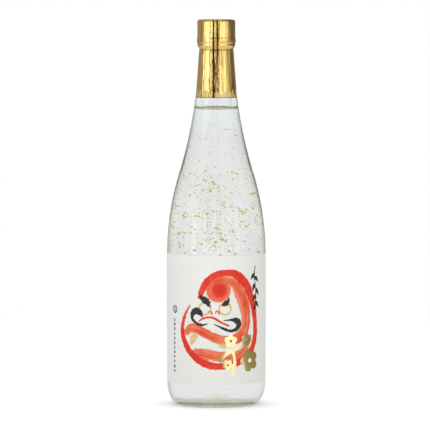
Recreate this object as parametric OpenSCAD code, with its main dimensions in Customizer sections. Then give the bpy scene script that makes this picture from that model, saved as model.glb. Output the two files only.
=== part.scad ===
// Filled sake bottle: a clear glass bottle with a screw finish, an aluminium screw cap with a
// liner and a tamper band, a gold film capsule over the closure, a wrap-round paper label,
// and gold leaf floating in the sake. Millimetres, +Z up, the front of the label faces -Y.
// The origin is the centre of the base, on the surface that the bottle stands on.

/* [Bottle] */
// Outer diameter of the glass body
body_d = 77; // [60:0.2:96]
// Height at which the shoulder begins
body_h = 116.5; // [90:0.5:145]
// Height of the glass, from the base to the lip
glass_h = 298; // [245:1:362]
// Glass thickness of the body wall
wall_t = 2; // [1.8:0.05:4]
// Glass thickness at the middle of the base
base_t = 4.2; // [3:0.1:7]
// Share of the shoulder's curve to the neck's curve, by radius
shoulder_ratio = 0.65; // [0.4:0.01:1.2]

/* [Base] */
// Width of the rounded heel, measured inwards
heel_w = 8.7; // [5:0.1:12]
// Height of the rounded heel
heel_h = 19; // [12:0.5:26]
// Width of the ring that the bottle stands on
ring_w = 3.4; // [2:0.1:5]
// Depth of the push-up under the base
punt_h = 4.2; // [2:0.1:7]

/* [Neck] */
// Length of the neck, from the end of the shoulder's curve to the lip
neck_len = 39.5; // [32:0.5:48]
// Diameter of the neck at its top, just under the closure
neck_d = 26.4; // [25:0.1:30]
// Flare of the neck, in degrees from upright
neck_flare = 3.9; // [1:0.1:6]
// Diameter of the bore at the mouth
bore_d = 19.5; // [15:0.1:21]
// Length of the straight bore, down from the lip's rounding
bore_len = 34; // [26:0.5:38]
// Rounding at the inner and outer edges of the lip
lip_r = 1.2; // [0.6:0.1:1.5]

/* [Screw finish] */
// Diameter of the finish at the root of its thread
finish_d = 25.8; // [25:0.1:32.5]
// Pitch of the thread
thread_pitch = 3.18; // [2.6:0.01:3.82]
// Turns of the thread
thread_turns = 1.5; // [1.25:0.05:1.6]
// Height of the glass thread above its root
thread_h = 1.1; // [0.9:0.05:1.3]
// Distance from the lip down to where the glass thread begins
thread_drop = 11.6; // [10.8:0.1:12]
// Distance from the lip down to the middle of the locking bead
bead_drop = 15.4; // [15.2:0.1:16.5]
// Height of the locking bead
bead_h = 2.2; // [1.8:0.1:2.7]

/* [Cap] */
// Sheet thickness of the cap and of the band
cap_t = 0.25; // [0.2:0.01:0.35]
// Radial play between the glass thread and the cap's wall
cap_play = 0.25; // [0.15:0.05:0.35]
// Outer rounding at the cap's top edge
cap_corner = 1.8; // [1:0.1:2.2]
// Depth of the thread rolled into the cap
cap_thread_h = 0.85; // [0.6:0.05:0.95]
// Thickness of the sealing liner
liner_t = 1.6; // [1:0.1:2.2]
// Number of knurls round the cap's top
knurls = 60; // [40:2:72]
// Height of the tamper band
band_h = 3.4; // [3:0.1:5]
// How far the cap's rolled foot stands out
roll_r = 0.45; // [0.2:0.05:0.7]
// Height of the cap's rolled foot
roll_h = 1.7; // [1.2:0.1:1.8]
// Bridges that hold the band to the cap until it is first opened
bridges = 8; // [6:1:12]

/* [Capsule] */
// Thickness of the gold film
film_t = 0.12; // [0.06:0.02:0.16]
// Length of the film's skirt, down from the break line
skirt_len = 44; // [34:1:54]

/* [Label] */
// Thickness of the label paper
label_t = 0.12; // [0.08:0.01:0.2]
// How far the label reaches round the bottle, in degrees
label_wrap = 300; // [200:5:340]
// Glass left bare below the label
label_foot_gap = 18.4; // [12:0.2:26]
// Height of the label
label_h = 100.1; // [60:0.1:102]

/* [Contents] */
// Distance from the lip down to the surface of the sake
fill_drop = 66; // [50:0.5:80]
// Pieces of gold leaf floating in the sake
floating_leaves = 110; // [20:1:160]
// Pieces of gold leaf lying on the bottom
settled_leaves = 16; // [0:1:30]
// Width of the largest leaf
leaf_w = 3.2; // [1.5:0.1:4]
// Thickness of a leaf
leaf_t = 0.15; // [0.1:0.05:0.2]

/* [Hidden] */

glass_c = [0.86, 0.92, 0.88, 0.35];
sake_c = [0.93, 0.94, 0.93, 0.3];
gold_leaf_c = [0.85, 0.66, 0.2];
paper_c = [0.94, 0.94, 0.91];
aluminium_c = [0.82, 0.81, 0.76];
film_c = [0.83, 0.64, 0.22];
liner_c = [0.95, 0.95, 0.93];

arc_steps = 14;            // straight steps in each round stretch of a profile
corner_steps = 8;          // the same in a small corner
bead_steps = 8;
lip_steps = 6;
skirt_steps = 16;          // steps down the film's skirt
fit_gap = 0.03;            // air left where two pieces touch
sink = 0.12;               // how far a rib or thread is set into the wall that carries it
body_r = body_d / 2;
neck_r = neck_d / 2;
finish_r = finish_d / 2;
bore_r = bore_d / 2;

// Closure heights and radii, all taken from the lip.
thread_r = finish_r + thread_h;
cap_in_r = thread_r + cap_play;
cap_r = cap_in_r + cap_t;
cap_in_top = glass_h + fit_gap + liner_t + fit_gap;
cap_top = cap_in_top + cap_t;
bead_z = glass_h - bead_drop;
bead_sink = 0.4;           // how far the bead's round section is set into the finish
bead_half = acos(bead_sink / (thread_h + bead_sink));
break_z = bead_z + bead_h / 2 - 0.3;
break_gap = 0.1;
cap_foot = break_z + break_gap;
band_foot = break_z - band_h;
knurl_r = 0.3;
knurl_out = 0.12;          // how far a knurl stands out of the cap
knurl_top = cap_top - cap_corner - 0.6;
knurl_h = 5;
tuck = 0.8;                // how far the band's foot is tucked in, and over what height
tuck_h = 1.1;
tab_w = 1.2;               // width of a bridge between the band and the cap
foot_r = cap_r + roll_r + 2 * fit_gap;
film_foot = break_z - skirt_len;
disc_r = cap_r - cap_corner - 0.6;
disc_t = film_t;
disc_lap = 1.6;            // how far the film is turned in over the disc
film_ease = 1.6;           // height over which the film eases out to the rolled foot
foot_lap = 0.7;            // film that stays at the foot's radius below the break line
foot_ease = 1.1;           // height over which it then eases in to the band

// Shoulder: a convex curve that runs into a hollow one and meets the neck's flare.
undercut_drop = 2.6;       // from the band's foot down to the undercut
undercut_h = 1.5;          // height over which the undercut eases out to the neck
undercut_z = band_foot - undercut_drop;
neck_top_z = undercut_z - undercut_h;
neck_foot_z = glass_h - neck_len;
neck_foot_r = neck_r + (neck_top_z - neck_foot_z) * tan(neck_flare);

// Lean of the wall, from upright, where the shoulder's two curves meet.
function lean(drop, rise, end_lean, ratio) =
    atan2(drop, rise) + acos(min(1, (rise * (ratio + cos(end_lean)) + drop * sin(end_lean))
        / ((1 + ratio) * norm([drop, rise]))));

// Points of the two curves from [r0, z0], where the wall is upright, to [r1, z1].
function shoulder(r0, z0, r1, z1, end_lean, ratio) =
    let (a = lean(r0 - r1, z1 - z0, end_lean, ratio),
        hollow_r = (z1 - z0) / ((1 + ratio) * sin(a) - sin(end_lean)),
        full_r = ratio * hollow_r)
    concat(
        [for (i = [0:arc_steps]) let (t = a * i / arc_steps)
            [r0 - full_r * (1 - cos(t)), z0 + full_r * sin(t)]],
        [for (i = [1:arc_steps]) let (t = a + (end_lean - a) * i / arc_steps)
            [r1 + hollow_r * (cos(end_lean) - cos(t)), z1 - hollow_r * (sin(t) - sin(end_lean))]]);

// Points of a circle's arc, or of an ellipse's where the two radii differ.
function arc(c, rx, rz, from, to, steps) =
    [for (i = [0:steps]) let (t = from + (to - from) * i / steps)
        [c[0] + rx * cos(t), c[1] + rz * sin(t)]];

// Points of the push-up: a shallow dome of the given height over a ring's inner edge.
function dome(r, h, z) =
    let (big_r = (r * r + h * h) / (2 * h), half = asin(r / big_r))
    [for (i = [0:arc_steps]) let (t = half * i / arc_steps)
        [big_r * sin(t), z + h - big_r * (1 - cos(t))]];

ring_out_r = body_r - heel_w;
ring_in_r = ring_out_r - ring_w;
outer_shoulder = shoulder(body_r, body_h, neck_foot_r, neck_foot_z, neck_flare, shoulder_ratio);

// The cavity: the same shapes, a wall's thickness inside the outer ones.
in_r = body_r - wall_t;
in_heel_w = heel_w * 0.8;
in_heel_h = heel_h - base_t;
in_ring_r = in_r - in_heel_w;
bore_foot_z = glass_h - lip_r - bore_len;
in_shoulder = shoulder(in_r, body_h, bore_r, bore_foot_z, 0, shoulder_ratio);

// Radius of the neck's and shoulder's outer wall at a height.
function outer_r(z) = z >= undercut_z ? finish_r
    : z >= neck_top_z ? neck_r + (finish_r - neck_r) * (z - neck_top_z) / (undercut_z - neck_top_z)
    : z >= neck_foot_z ? neck_r + (neck_top_z - z) * tan(neck_flare)
    : lookup(z, [for (p = outer_shoulder) [p[1], p[0]]]);

// Floor of the cavity at a radius, on the inner dome.
function floor_z(r) =
    let (h = punt_h, big_r = (in_ring_r * in_ring_r + h * h) / (2 * h))
    base_t + h - (big_r - sqrt(big_r * big_r - r * r));

module outer_profile() {
    polygon(concat(
        dome(ring_in_r, punt_h, 0),
        arc([ring_out_r, heel_h], heel_w, heel_h, -90, 0, arc_steps),
        outer_shoulder,
        [[neck_r, neck_top_z], [finish_r, undercut_z]],
        arc([finish_r - bead_sink, bead_z], thread_h + bead_sink, bead_h / 2,
            -bead_half, bead_half, bead_steps),
        arc([finish_r - lip_r, glass_h - lip_r], lip_r, lip_r, 0, 90, lip_steps),
        [[0, glass_h]]));
}

module cavity_profile(top_z) {
    polygon(concat(
        dome(in_ring_r, punt_h, base_t),
        arc([in_ring_r, heel_h], in_heel_w, in_heel_h, -90, 0, arc_steps),
        [for (p = in_shoulder) if (p[1] < top_z - 0.01) p],
        [[lookup(top_z, [for (p = in_shoulder) [p[1], p[0]]]), top_z], [0, top_z]]));
}

// A thread or rolled bead swept up a helix: it stands from root_r to crest_r, and sinks back
// into its wall over the first and last few steps.
module helix_rib(root_r, crest_r, root_w, crest_w, start_z, start_a, turns) {
    per_turn = 36;
    n = round(turns * per_turn);
    run_out = 3;           // steps over which the rib rises at each end
    end_share = 0.25;      // share of its height that it keeps at its ends
    ring = [for (i = [0:n])
        let (a = start_a + 360 * i / per_turn,
            z = start_z + thread_pitch * i / per_turn,
            k = min(1, min(i, n - i) / run_out),
            c = root_r + (crest_r - root_r) * (end_share + (1 - end_share) * k),
            h = (crest_w + (root_w - crest_w) * (1 - k) / 2) / 2)
        for (q = [[root_r, -root_w / 2], [c, -h], [c, h], [root_r, root_w / 2]])
            [q[0] * cos(a), q[0] * sin(a), z + q[1]]];
    turned = crest_r > root_r;
    sides = [for (i = [0:n - 1]) for (j = [0:3])
        let (p = 4 * i + j, q = 4 * i + (j + 1) % 4)
        for (f = [[p, q, q + 4], [p, q + 4, p + 4]])
            turned ? f : [f[2], f[1], f[0]]];
    ends = [[0, 3, 2], [0, 2, 1], [4 * n, 4 * n + 1, 4 * n + 2], [4 * n, 4 * n + 2, 4 * n + 3]];
    polyhedron(ring, concat(sides, [for (f = ends) turned ? f : [f[2], f[1], f[0]]]));
}

thread_z = glass_h - thread_drop;
glass_rib_w = [2.1, 0.8];  // widths of the glass thread at its root and its crest
cap_rib_w = [1, 0.4];      // and of the cap's
cap_rib_start = 60;        // angle at which the cap's thread begins

module glass_bottle() {
    color(glass_c) {
        difference() {
            rotate_extrude($fn = 128) outer_profile();
            rotate_extrude($fn = 128) cavity_profile(bore_foot_z);
            translate([0, 0, bore_foot_z - 1]) cylinder(r = bore_r, h = bore_len + 5, $fn = 96);
            rotate_extrude($fn = 96)
                difference() {
                    translate([0, glass_h - lip_r]) square([bore_r + lip_r, lip_r + 1]);
                    translate([bore_r + lip_r, glass_h - lip_r]) circle(r = lip_r, $fn = 32);
                }
        }
        helix_rib(finish_r - 3 * sink, thread_r, glass_rib_w[0], glass_rib_w[1],
            thread_z, 0, thread_turns);
    }
}

fill_z = glass_h - fill_drop;

module sake_fill() {
    color(sake_c)
        rotate_extrude($fn = 128)
            intersection() {
                // The mirror image keeps the inset from opening a hole along the axis.
                offset(delta = -fit_gap) {
                    cavity_profile(bore_foot_z);
                    mirror([1, 0]) cavity_profile(bore_foot_z);
                }
                square([body_r, fill_z]);
            }
}

// One torn scrap of leaf, an uneven flat polygon.
module leaf(width, seed) {
    corners = 5 + floor(rands(0, 2.99, 1, seed)[0]);
    reach = rands(0.5, 1, corners, seed + 1);
    stretch = rands(0.35, 0.8, 1, seed + 2)[0];
    linear_extrude(leaf_t, center = true)
        polygon([for (i = [0:corners - 1]) let (t = 360 * i / corners)
            width / 2 * reach[i] * [cos(t), stretch * sin(t)]]);
}

// Free radius inside the glass at a height, less a leaf's own reach.
function room(z) =
    (z < body_h ? in_r : lookup(z, [for (p = in_shoulder) [p[1], p[0]]])) - leaf_w * 0.75;

module gold_leaf_floating() {
    foot = heel_h + leaf_w;
    span = fill_z - foot - 2 * leaf_w;
    color(gold_leaf_c)
        for (i = [0:floating_leaves - 1]) {
            // A golden-angle walk spreads the leaves evenly, and the random values break it up.
            u = rands(0, 1, 6, 40 + i);
            z = foot + span * (i + u[0]) / floating_leaves;
            r = room(z) * sqrt(u[1]);
            a = 137.5 * i + 40 * u[2];
            translate([r * cos(a), r * sin(a), z])
                rotate([180 * u[3], 180 * u[4], 360 * u[5]])
                    leaf(leaf_w * (0.3 + 0.7 * u[0] * u[4]), 900 + 7 * i);
        }
}

module gold_leaf_settled() {
    color(gold_leaf_c)
        for (i = [0:settled_leaves - 1]) {
            u = rands(0, 1, 3, 400 + i);
            r = (in_ring_r - leaf_w) * sqrt((i + u[0]) / settled_leaves);
            translate([r * cos(137.5 * i), r * sin(137.5 * i), floor_z(r) + leaf_t + 0.35])
                rotate([0, 0, 360 * u[1]])
                    leaf(leaf_w * (0.5 + 0.5 * u[2]), 2000 + 7 * i);
        }
}

// The label's gap is at the back, at +Y.
module wrap_label() {
    color(paper_c)
        rotate([0, 0, 90 + (360 - label_wrap) / 2])
            rotate_extrude(angle = label_wrap, $fn = 128)
                translate([body_r + fit_gap, label_foot_gap]) square([label_t, label_h]);
}

// Its foot is tucked in under the glass bead, and bridges reach up to the cap.
module tamper_band() {
    color(aluminium_c) {
        rotate_extrude($fn = 96)
            polygon([[cap_in_r, break_z], [cap_r, break_z], [cap_r, band_foot + tuck_h],
                [cap_r - tuck, band_foot], [cap_in_r - tuck, band_foot],
                [cap_in_r, band_foot + tuck_h]]);
        for (i = [0:bridges - 1])
            rotate([0, 0, 360 * i / bridges])
                translate([cap_in_r + cap_t * 0.1, -tab_w / 2, break_z - fit_gap])
                    cube([cap_t * 0.8, tab_w, break_gap]);
    }
}

// Outline of one side of the cap's sheet: its top, its side at a radius, and the rolled foot.
function cap_outline(top_z, corner, side_r) = concat(
    [[0, top_z]],
    arc([cap_r - cap_corner, cap_top - cap_corner], corner, corner, 90, 0, corner_steps),
    arc([side_r, cap_foot + roll_h / 2], roll_r, roll_h / 2, 90, -90, corner_steps));

module screw_cap() {
    color(aluminium_c) {
        rotate_extrude($fn = 96)
            difference() {
                polygon(concat(cap_outline(cap_top, cap_corner, cap_r), [[0, cap_foot]]));
                polygon(concat(cap_outline(cap_in_top, cap_corner - cap_t, cap_in_r),
                    [[cap_in_r, cap_foot - 1], [0, cap_foot - 1]]));
            }
        for (i = [0:knurls - 1])
            rotate([0, 0, 360 * i / knurls])
                translate([cap_r - knurl_r + knurl_out, 0, knurl_top - knurl_h])
                    cylinder(r = knurl_r, h = knurl_h, $fn = 24);
        helix_rib(cap_in_r + sink, cap_in_r - cap_thread_h, cap_rib_w[0], cap_rib_w[1],
            thread_z + thread_pitch * (cap_rib_start / 360 - 1 / 2), cap_rib_start, thread_turns);
    }
}

liner_r = cap_r - cap_corner - fit_gap;

module cap_liner() {
    color(liner_c)
        translate([0, 0, glass_h + fit_gap]) cylinder(r = liner_r, h = liner_t, $fn = 96);
}

// The film follows the cap and laps over the disc on its top. It is cut at the break line, so it
// turns with the cap.
module capsule_hood() {
    rise = 2 * fit_gap + disc_t;
    side = knurl_out + fit_gap;
    inside = concat(
        [[disc_r - disc_lap, cap_top + rise]],
        arc([cap_r - cap_corner, cap_top - cap_corner], cap_corner + side, cap_corner + rise,
            90, 0, corner_steps),
        [[cap_r + side, cap_foot + roll_h + film_ease], [foot_r, cap_foot + roll_h * 0.6],
            [foot_r, cap_foot]]);
    outside = concat(
        [[disc_r - disc_lap, cap_top + rise + film_t]],
        arc([cap_r - cap_corner, cap_top - cap_corner], cap_corner + side + film_t,
            cap_corner + rise + film_t, 90, 0, corner_steps),
        [[cap_r + side + film_t, cap_foot + roll_h + film_ease],
            [foot_r + film_t, cap_foot + roll_h * 0.6], [foot_r + film_t, cap_foot]]);
    color(film_c)
        rotate_extrude($fn = 96)
            polygon(concat(inside, [for (i = [len(outside) - 1:-1:0]) outside[i]]));
}

// The disc that closes the film's open end, on the cap's top.
module capsule_top() {
    color(film_c)
        translate([0, 0, cap_top + fit_gap]) cylinder(r = disc_r, h = disc_t, $fn = 96);
}

// Shrunk on the band, then in under it, then down the neck.
module capsule_skirt() {
    upper = [[foot_r, break_z], [foot_r, break_z - foot_lap],
        [cap_r + 2 * fit_gap, break_z - foot_lap - foot_ease],
        [cap_r + 2 * fit_gap, band_foot - fit_gap], [finish_r + 2 * fit_gap, undercut_z]];
    lower = [for (i = [0:skirt_steps])
        let (z = neck_top_z - (neck_top_z - film_foot) * i / skirt_steps)
        [outer_r(z) + 2 * fit_gap, z]];
    path = concat(upper, lower);
    color(film_c)
        rotate_extrude($fn = 96)
            polygon(concat(path, [for (i = [len(path) - 1:-1:0]) path[i] + [film_t, 0]]));
}

glass_bottle();
sake_fill();
gold_leaf_floating();
gold_leaf_settled();
wrap_label();
tamper_band();
capsule_skirt();
cap_liner();
screw_cap();
capsule_top();
capsule_hood();
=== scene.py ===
import math
import random

import bmesh
import bpy
import numpy as np
from mathutils import Matrix, Vector, noise


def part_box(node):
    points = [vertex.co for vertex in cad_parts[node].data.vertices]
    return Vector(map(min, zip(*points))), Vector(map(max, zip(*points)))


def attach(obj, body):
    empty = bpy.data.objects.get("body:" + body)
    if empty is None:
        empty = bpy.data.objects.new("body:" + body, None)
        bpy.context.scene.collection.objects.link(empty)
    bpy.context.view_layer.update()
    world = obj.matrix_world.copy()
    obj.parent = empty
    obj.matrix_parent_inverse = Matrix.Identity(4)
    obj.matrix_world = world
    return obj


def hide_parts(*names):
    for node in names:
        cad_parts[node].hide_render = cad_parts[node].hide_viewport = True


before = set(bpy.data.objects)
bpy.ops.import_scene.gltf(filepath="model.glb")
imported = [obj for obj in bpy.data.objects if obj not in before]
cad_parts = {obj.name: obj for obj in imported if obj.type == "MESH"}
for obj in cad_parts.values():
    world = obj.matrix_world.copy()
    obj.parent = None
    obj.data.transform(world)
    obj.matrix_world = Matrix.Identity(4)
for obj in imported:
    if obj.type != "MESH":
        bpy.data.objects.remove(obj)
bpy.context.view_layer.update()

# %% [markdown]
# # A bottle of sake with a painted daruma on its label
# The bottle is clear glass with gold leaf drifting in the sake. A gold film is shrunk over its
# screw cap and neck, and a paper label with a brush painting is wrapped round its body. The
# frame that was just loaded holds the plain engineering shapes. Each cell below makes one real
# piece again with a finer mesh and its own finish, in the same place and of the same size.

# %% Sizes, in metres, taken from the frame
MM = 0.001


def top(node):
    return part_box(node)[1].z


def foot(node):
    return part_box(node)[0].z


def reach(node):
    """How far a round piece reaches from the bottle's axis."""
    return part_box(node)[1].x


body_r = reach("glass_bottle")
glass_top = top("glass_bottle")
fill_z = top("sake_fill")
film_foot, break_z = foot("capsule_skirt"), top("capsule_skirt")
cap_foot, cap_top = foot("screw_cap"), top("screw_cap")
band_foot = foot("tamper_band")
print(f"body radius {body_r:.4f}, glass {glass_top:.4f} high, sake to {fill_z:.4f}")

# %% [markdown]
# A box can't tell the sizes of the walls, the neck and the thread. They are named here once, and
# every piece below shares them.

# %% The bottle's other sizes, in metres
wall = 2.0 * MM
shoulder_z = 116.5 * MM  # where the upright body ends
neck_foot_z = glass_top - 39.5 * MM
neck_r = 13.2 * MM  # at the top of the bare neck
neck_lean = math.radians(3.9)
neck_top_z = band_foot - 4.1 * MM
undercut_z = band_foot - 2.6 * MM
finish_r = 12.9 * MM  # the neck under the cap
bore_r = 9.75 * MM
bore_foot_z = glass_top - 35.2 * MM
lip_r = 1.2 * MM
bead_z = glass_top - 15.4 * MM
bead_h = 2.2 * MM
thread_out = 1.1 * MM  # height of the glass thread
thread_z = glass_top - 11.6 * MM
thread_pitch = 3.18 * MM
thread_turns = 1.5
heel_w, heel_h = 8.7 * MM, 19 * MM
ring_w, punt_h, base_t = 3.4 * MM, 4.2 * MM, 4.2 * MM
neck_foot_r = neck_r + (neck_top_z - neck_foot_z) * math.tan(neck_lean)
print(f"neck radius {neck_foot_r:.4f} at its foot and {neck_r:.4f} at its top")

# %% [markdown]
# A turned piece is an outline spun about the bottle's axis. An outline here is a list of points,
# each a radius and a height, and its round stretches come from arcs. The shoulder is two arcs, a
# full one that leaves the upright body and a hollow one that runs into the neck, and they meet
# with the same lean so that no crease shows.

# %% Outlines
def arc(centre, wide, high, start, end, steps):
    """Points of an ellipse's arc from one angle to the other, in degrees."""
    turn = [math.radians(start + (end - start) * i / steps) for i in range(steps + 1)]
    return [(centre[0] + wide * math.cos(t), centre[1] + high * math.sin(t)) for t in turn]


def dome(r, high, z, steps=12):
    """Points of the push-up under a bottle, from its top on the axis to its foot."""
    big = (r * r + high * high) / (2 * high)
    half = math.asin(r / big)
    turn = [half * i / steps for i in range(steps + 1)]
    return [(big * math.sin(t), z + high - big * (1 - math.cos(t))) for t in turn]


def shoulder(r0, z0, r1, z1, end_lean, ratio=0.65, steps=26):
    """Points of the shoulder. The ratio is the full arc's radius over the hollow arc's."""
    drop, rise = r0 - r1, z1 - z0
    lean = math.atan2(drop, rise) + math.acos(min(1, (
        rise * (ratio + math.cos(end_lean)) + drop * math.sin(end_lean))
        / ((1 + ratio) * math.hypot(drop, rise))))
    hollow = rise / ((1 + ratio) * math.sin(lean) - math.sin(end_lean))
    full = ratio * hollow
    points = []
    for i in range(steps + 1):
        t = lean * i / steps
        points.append((r0 - full * (1 - math.cos(t)), z0 + full * math.sin(t)))
    for i in range(1, steps + 1):
        t = lean + (end_lean - lean) * i / steps
        points.append((r1 + hollow * (math.cos(end_lean) - math.cos(t)),
                       z1 - hollow * (math.sin(t) - math.sin(end_lean))))
    return points


def level(points, z):
    """Radius of a rising outline at a height."""
    return float(np.interp(z, [p[1] for p in points], [p[0] for p in points]))


outer_shoulder = shoulder(body_r, shoulder_z, neck_foot_r, neck_foot_z, neck_lean)
inner_shoulder = shoulder(body_r - wall, shoulder_z, bore_r, bore_foot_z, 0)
print(f"inside radius at the sake's level {level(inner_shoulder, fill_z):.4f}")

# %% [markdown]
# `turned` lets the spin operator sweep an outline's points round the axis. The full spin merges
# its last step onto its first, points on the axis are merged into one pole, and the normals are
# recalculated once the shell is whole. `reshape` then moves every point of a finished shell by a
# small rule, which is how threads, knurls and wrinkles are rolled into it.

# %% Turning and reshaping
def turned(outline, steps, closed=False):
    bm = bmesh.new()
    points = [bm.verts.new((r, 0, z)) for r, z in outline]
    for a, b in zip(points, points[1:]):
        bm.edges.new((a, b))
    if closed:
        bm.edges.new((points[-1], points[0]))
    bmesh.ops.spin(bm, geom=bm.verts[:] + bm.edges[:], cent=(0, 0, 0), axis=(0, 0, 1),
                   angle=math.tau, steps=steps, use_merge=True, use_duplicate=False)
    bmesh.ops.remove_doubles(bm, verts=bm.verts, dist=1e-7)
    bmesh.ops.recalc_face_normals(bm, faces=bm.faces)
    return bm


def reshape(bm, rule):
    """Moves each point outwards and upwards by what the rule says for its angle, height, radius."""
    for v in bm.verts:
        r = math.hypot(v.co.x, v.co.y)
        if r > MM:
            out, up = rule(math.atan2(v.co.y, v.co.x) % math.tau, v.co.z, r)
            v.co.x *= (r + out) / r
            v.co.y *= (r + out) / r
            v.co.z += up


def ease(x, low, high):
    """Runs smoothly from 0 at low to 1 at high."""
    t = min(1, max(0, (x - low) / (high - low)))
    return t * t * (3 - 2 * t)


def show(name, bm, material):
    """Turns a finished bmesh into an object in the scene."""
    mesh = bpy.data.meshes.new(name)
    bm.to_mesh(mesh)
    bm.free()
    mesh.materials.append(material)
    made = bpy.data.objects.new(name, mesh)
    bpy.context.scene.collection.objects.link(made)
    return made


def piece(name, bm, material, body, slot, *nodes):
    """Makes the finished object, puts it on its body, and prints its face count."""
    made = show(name, bm, material)
    made.data.shade_smooth()
    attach(made, body)
    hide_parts(*nodes)
    print(f"{name}: {len(made.data.polygons)} faces, rides on {body}")
    return made


print("turning and reshaping ready")

# %% [markdown]
# A finish is a small net of shader nodes. `Net.add` makes any node from its type, its settings
# and its inputs. A `Wire` is one output of a node, and sums on wires are written as plain
# expressions, each of which adds the Math node that does it.

# %% Shader nodes as expressions
class Wire:
    def __init__(self, net, socket):
        self.net, self.socket = net, socket

    def sum(self, operation, a, b=0.0):
        return self.net.add("ShaderNodeMath", {"operation": operation}, {0: a, 1: b})

    def __add__(self, other):
        return self.sum("ADD", self, other)

    def __sub__(self, other):
        return self.sum("SUBTRACT", self, other)

    def __rsub__(self, other):
        return self.sum("SUBTRACT", other, self)

    def __mul__(self, other):
        return self.sum("MULTIPLY", self, other)

    def __abs__(self):
        return self.sum("ABSOLUTE", self)

    __radd__ = __add__
    __rmul__ = __mul__


class Net:
    def __init__(self, tree):
        self.tree = tree
        tree.nodes.clear()

    def add(self, kind, settings=None, inputs=None, out=0):
        node = self.tree.nodes.new(kind)
        for name, value in (settings or {}).items():
            if name == "stops":
                while len(node.color_ramp.elements) < len(value):
                    node.color_ramp.elements.new(1)
                for stop, (place, colour) in zip(node.color_ramp.elements, value):
                    stop.position, stop.color = place, (*colour, 1)
            else:
                setattr(node, name, value)
        for name, value in (inputs or {}).items():
            if isinstance(value, Wire):
                self.tree.links.new(value.socket, node.inputs[name])
            else:
                node.inputs[name].default_value = value
        return Wire(self, node.outputs[out])

    def mix(self, share, a, b):
        """Colour a, turned by a share into colour b."""
        a, b = [c if isinstance(c, Wire) else (*c, 1) for c in (a, b)]
        return self.add("ShaderNodeMix", {"data_type": "RGBA"}, {0: share, 6: a, 7: b}, out=2)

    def step(self, x, low, high, start=0.0, end=1.0):
        """Runs smoothly from start at low to end at high."""
        return self.add("ShaderNodeMapRange", {"interpolation_type": "SMOOTHSTEP"},
                        {0: x, 1: low, 2: high, 3: start, 4: end})

    def band(self, x, low, high, soft):
        """1 between two values and 0 elsewhere, with soft ends."""
        return self.step(x, low - soft, low + soft) * (1 - self.step(x, high - soft, high + soft))

    def ray(self, kind):
        """1 for rays of one kind and 0 for the others."""
        return self.add("ShaderNodeLightPath", out=kind)

    def place(self, scale=(1, 1, 1)):
        """The point on the piece, stretched by a scale."""
        point = self.add("ShaderNodeTexCoord", out=3)
        return self.add("ShaderNodeMapping", None, {"Vector": point, "Scale": scale})

    def axis(self, which):
        """The point's x, y or z, for 0, 1 or 2."""
        return self.add("ShaderNodeSeparateXYZ", None, {0: self.place()}, out=which)

    def grain(self, scale, detail=3.0, rough=0.55, stretch=(1, 1, 1)):
        """Soft noise with so many lumps to the metre."""
        return self.add("ShaderNodeTexNoise", None, {
            "Vector": self.place(stretch), "Scale": scale, "Detail": detail, "Roughness": rough})

    def bump(self, height, distance, strength=1.0):
        return self.add("ShaderNodeBump", None,
                        {"Height": height, "Distance": distance, "Strength": strength})

    def surface(self, **inputs):
        """A Principled shader. An underscore in an input's name stands for a space."""
        return self.add("ShaderNodeBsdfPrincipled", None,
                        {name.replace("_", " "): value for name, value in inputs.items()})

    def out(self, shader):
        self.add_output("ShaderNodeOutputMaterial", shader)

    def add_output(self, kind, shader):
        node = self.tree.nodes.new(kind)
        self.tree.links.new(shader.socket, node.inputs["Surface"])


CAMERA, SHADOW, GLOSSY, REFLECTED, TRANSMITTED = 0, 1, 3, 5, 6


def new_finish(name):
    material = bpy.data.materials.new(name)
    material.use_nodes = True
    print(f"material {name} made")
    return material, Net(material.node_tree)


print("shader helpers ready")

# %% [markdown]
# ## Clear glass
# Bottle glass is nearly colourless, but greener where the eye looks along the wall. Working that
# out with a volume is slow, so the tint comes from the facing angle. The thick foot is tinted as
# well, and a thin dark line of painted shade marks the sake's surface, where its curved edge turns
# the light away. Light that only casts a shadow is let straight through, so what is inside is lit.
# Moulded glass has slow waves in it, so a long soft bump bends what is seen through it a little.

# %% Glass and sake finishes
thick_green = (0.58, 0.63, 0.42)
painted_line_shade = (0.34, 0.32, 0.15)


def see_through(net, clear, edge, ior, normal=None, line=None, thick=None):
    """A clear finish. Line, a painted shade line at the sake's surface, and thick are two heights
    each, between which they begin and end.
    """
    facing = net.add("ShaderNodeLayerWeight", out=1)
    colour = net.mix(net.step(facing, 0.54, 0.78), clear, edge)
    # Painted shade: above the line's heights the sake is drawn brown, a dark line where its curved
    # edge turns the light away.
    if line:
        colour = net.mix(net.step(net.axis(2), *line), colour, painted_line_shade)
    if thick:
        colour = net.mix(net.step(net.axis(2), *thick), thick_green, colour)
    inputs = {"Base_Color": colour, "Roughness": 0.0, "Transmission_Weight": 1.0, "IOR": ior}
    if normal:
        inputs["Normal"] = normal
    shader = net.surface(**inputs)
    through = net.add("ShaderNodeBsdfTransparent", None, {"Color": (0.97, 0.975, 0.97, 1)})
    net.out(net.add("ShaderNodeMixShader", None, {0: net.ray(SHADOW), 1: shader, 2: through}))


glass_finish, net = new_finish("clear_glass")
waves = net.grain(26, detail=2, stretch=(1, 1, 0.35))
see_through(net, (0.985, 0.992, 0.988), (0.67, 0.72, 0.52), 1.52,
            net.bump(waves, 0.25 * MM, 0.5), thick=(1 * MM, 9 * MM))

sake_finish, net = new_finish("sake")
see_through(net, (0.995, 0.996, 0.993), (0.96, 0.965, 0.93), 1.36,
            line=(fill_z - 2.3 * MM, fill_z - 1.7 * MM))

# %% [markdown]
# ## The glass bottle
# One closed shell: the push-up and the ring it stands on, the heel, the upright body, the
# shoulder, the neck, the bead and thread of the screw finish, the lip, and then back down the
# bore and round the inside. The thread isn't a separate strip. The rows of points under it are
# close together, and a rule lifts the wall wherever the helix passes, as in a glass mould.

# %% Glass bottle
glass_steps = 144
body_rows = 24
finish_rows = 46


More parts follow.
